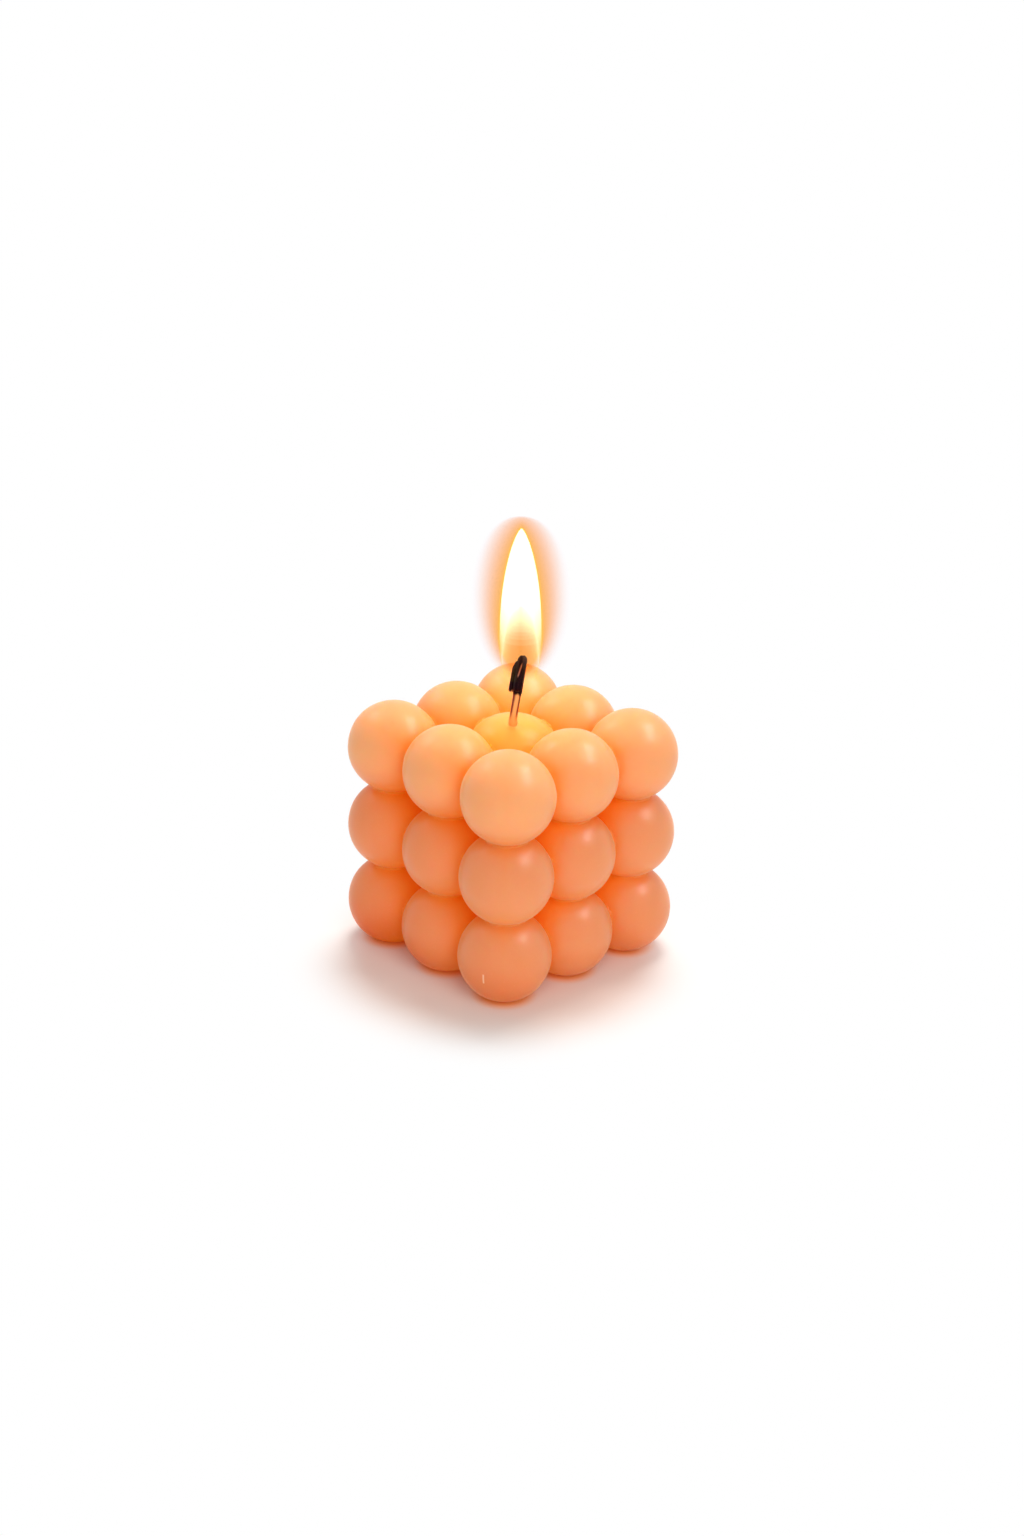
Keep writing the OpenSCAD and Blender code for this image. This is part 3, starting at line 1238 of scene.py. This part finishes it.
def glow_outline(u):
    """Outline of the film at this share of the glow's reach."""
    widest = FLAME_R + GLOW_SPREAD * u
    top = EDGE_TOP + (FLAME_TOP - GLOW_TOP_GAP - EDGE_TOP) * min(u / GLOW_TOP_FULL, 1)
    belly = BELLY_Z + GLOW_BELLY_RISE * (1 - (1 - u) ** 3)
    low = GLOW_LOW - GLOW_DROP * u
    taper = max(GLOW_TAPER - GLOW_TAPER_LOSS * u, GLOW_TAPER_LEAST)
    outline = []
    for angle in half_turns(GLOW_STEPS):
        up = math.sin(angle)
        if up < 0:
            outline.append((widest * math.sqrt(1 - up * up), belly + (belly - low) * up))
        else:
            outline.append((widest * (1 - up * up) ** taper, belly + (top - belly) * up))
    return outline


def make_glow():
    """Orange glow round the flame, in clear films from the flame's side outwards."""
    films = []
    materials = []
    for i in range(GLOW_FILMS):
        films.append(glow_outline((i + 0.5) / GLOW_FILMS))
        inside = glow_depth(i / GLOW_FILMS)
        outside = glow_depth((i + 1) / GLOW_FILMS)
        depths = [(a - b) / 2 for a, b in zip(inside, outside)]
        materials.append(film("glow_%02d" % i, depths))
    flame_shells("flame_d_glow", films, materials)


def make_flame():
    """The flame: bright gas, skins, yellow edge, glow and the clear gas round the wick's end."""
    fire_white = fire("bright_gas", FIN_COLOUR, FIN_STRENGTH, FIN_SOLID)
    bright = fins("flame_a_bright_gas", bright_profile, FIN_LOW, FIN_TOP, fire_white)
    make_skins()
    fire_edge = fire("edge", EDGE_COLOUR, EDGE_STRENGTH, EDGE_SOLID)
    fins("flame_c_edge", edge_profile, EDGE_LOW, EDGE_TOP, fire_edge)
    make_glow()
    make_gas()
    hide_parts("flame")


# Lights, floor and background

# Lamps one metre from the wax: shares of the camera's right, up and back, watts, width in metres
SHINE_LAMPS = (
    ("key", (0.53, 0.82, 0.16), 3.6, 0.36),
    ("low_key", (0.66, 0.60, 0.46), 3.0, 0.32),
    ("fill", (-0.55, 0.825, -0.13), 1.3, 0.30),
)
# The same with shares of the camera's right, straight up and level towards the camera
SOFT_LAMPS = (
    ("sky", (0.09, 0.90, -0.38), 7.7, 0.5),
    ("front", (0.22, 0.54, 0.81), 3.8, 0.8),
)
FLAME_LAMP_POWER = 0.015
FLAME_LAMP_COLOUR = (1.0, 0.60, 0.44)
FLAME_LAMP_R = 12.0
FLAME_LAMP_Z = 79.0
FLAME_LAMP_BACK = 2.0
AMBIENT = 0.42


def add_lamp(name, kind, place, energy, shines, **settings):
    """A lamp that lights either the matt share of what it meets or only its highlights."""
    data = bpy.data.lights.new(name, kind)
    data.energy = energy
    for key, value in settings.items():
        setattr(data, key, value)
    lamp = bpy.data.objects.new(name, data)
    lamp.location = place
    lamp.visible_diffuse = not shines
    lamp.visible_glossy = shines
    bpy.context.scene.collection.objects.link(lamp)
    return lamp


def make_lights():
    """Lamps for the highlights, lamps for the soft daylight, and the flame's own light."""
    right, up, back = camera_axes()
    level = Vector((back.x, back.y, 0)).normalized()
    middle = UP * MID_Z * MM
    groups = ((SHINE_LAMPS, (right, up, back), True), (SOFT_LAMPS, (right, UP, level), False))
    for lamps, ways, shines in groups:
        for name, shares, power, size in lamps:
            way = sum((share * way for share, way in zip(shares, ways)), Vector()).normalized()
            lamp = add_lamp(name, "AREA", middle + way, power, shines, shape="DISK", size=size)
            lamp.rotation_euler = (-way).to_track_quat("-Z", "Y").to_euler()
    x, y = flame_axis(FLAME_LAMP_Z)
    place = Vector((x + FLAME_LAMP_BACK, y + FLAME_LAMP_BACK, FLAME_LAMP_Z)) * MM
    add_lamp(
        "flame_light", "POINT", place, FLAME_LAMP_POWER, False,
        color=FLAME_LAMP_COLOUR, shadow_soft_size=FLAME_LAMP_R * MM,
    )


def make_world():
    """White to the camera and in reflections, and a dimmer white as the light of the room."""
    world = bpy.data.worlds.new("studio")
    bpy.context.scene.world = world
    s = Shader(world, "ShaderNodeOutputWorld")
    path = s.node("ShaderNodeLightPath")
    seen = path.outputs["Is Camera Ray"]
    for ray in ("Is Glossy Ray", "Is Transmission Ray"):
        seen = s.math("MAXIMUM", seen, path.outputs[ray])
    room = s.node("ShaderNodeBackground", {"Color": WHITE, "Strength": AMBIENT})
    s.mix_shader(seen, room, s.node("ShaderNodeBackground", {"Color": WHITE, "Strength": 1.0}))


FLOOR_R = 600.0
FLOOR_RINGS = 24
FLOOR_SIDES = 64
FLOOR_NEAR_BOUNCE = srgb(247, 239, 232)
FLOOR_CONTACT_BOUNCE = srgb(255, 194, 124)

# Distances from the middle of the shadow over which the floor turns into white and loses its painted
# warm light from the wax
SHADOW_TOWARD = 9.0
SHADOW_LEFT = 1.5
FLOOR_FADE = (30.0, 53.0)
TINT_FADE = (30.0, 75.0)

# Distances from a bubble's foot over which the warm light under the wax starts
CONTACT_FADE = (8.2, 4.5)


def shadow_middle():
    """Middle of the shadow on the floor: in front of the candle and a little to the left."""
    right, _, back = camera_axes()
    toward = Vector((back.x, back.y, 0)).normalized()
    aside = Vector((right.x, right.y, 0)).normalized()
    return toward * SHADOW_TOWARD - aside * SHADOW_LEFT


def from_bubble_foot(s):
    """Distance on the floor to the middle of the nearest bubble's foot."""
    parts = s.node("ShaderNodeSeparateXYZ", {0: s.object_place()})
    squares = []
    for part in ("X", "Y"):
        size = s.math("ABSOLUTE", parts.outputs[part])
        within = s.math("PINGPONG", s.math("MINIMUM", size, PITCH * MM), PITCH / 2 * MM)
        beyond = s.math("SUBTRACT", size, PITCH * MM)
        away = s.math("MAXIMUM", within, beyond)
        squares.append(s.math("MULTIPLY", away, away))
    return s.math("SQRT", s.math("ADD", *squares))


def floor_material():
    """Matt floor that takes the shadow, with painted warm light from the wax near the candle, and turns
    into plain white further out.
    """
    s = Shader(bpy.data.materials.new("floor"))
    away = s.vector("SUBTRACT", s.object_place(), tuple(shadow_middle() * MM))
    distance = s.vector("LENGTH", away.outputs[0]).outputs["Value"]
    far = s.ramp(distance, *[reach * MM for reach in FLOOR_FADE])
    untinted = s.ramp(distance, *[reach * MM for reach in TINT_FADE])
    contact = s.ramp(from_bubble_foot(s), *[reach * MM for reach in CONTACT_FADE])
    # Painted warm light from the wax, which also colours the shadow, strongest under the bubbles
    tint = s.mix(contact, s.mix(untinted, FLOOR_NEAR_BOUNCE, WHITE), FLOOR_CONTACT_BOUNCE)
    matt = s.node("ShaderNodeBsdfDiffuse", {"Color": tint})
    s.mix_shader(far, matt, s.node("ShaderNodeEmission", {"Color": WHITE, "Strength": 1.0}))
    return s.owner


def make_floor():
    """A round floor, its rings closer together under the candle."""
    points = [(0, 0, 0)]
    faces = []
    for side in range(FLOOR_SIDES):
        faces.append([0, 1 + side, 1 + (side + 1) % FLOOR_SIDES])
    for ring in range(1, FLOOR_RINGS + 1):
        if ring > 1:
            low = len(points) - FLOOR_SIDES
            faces += ring_faces(low + FLOOR_SIDES, low, FLOOR_SIDES)
        points += circle(0, 0, 0, FLOOR_R * (ring / FLOOR_RINGS) ** 2, FLOOR_SIDES)
    obj = new_object("floor", points, faces, smooth=False)
    obj.data.materials.append(floor_material())


# Most clear films and sheets that one line of sight passes
CLEAR_LAYERS = 160

bpy.context.scene.view_settings.view_transform = "Standard"
bpy.context.scene.cycles.transparent_max_bounces = CLEAR_LAYERS
make_camera()
make_world()
make_lights()
make_floor()
make_wax()
make_wick()
make_flame()
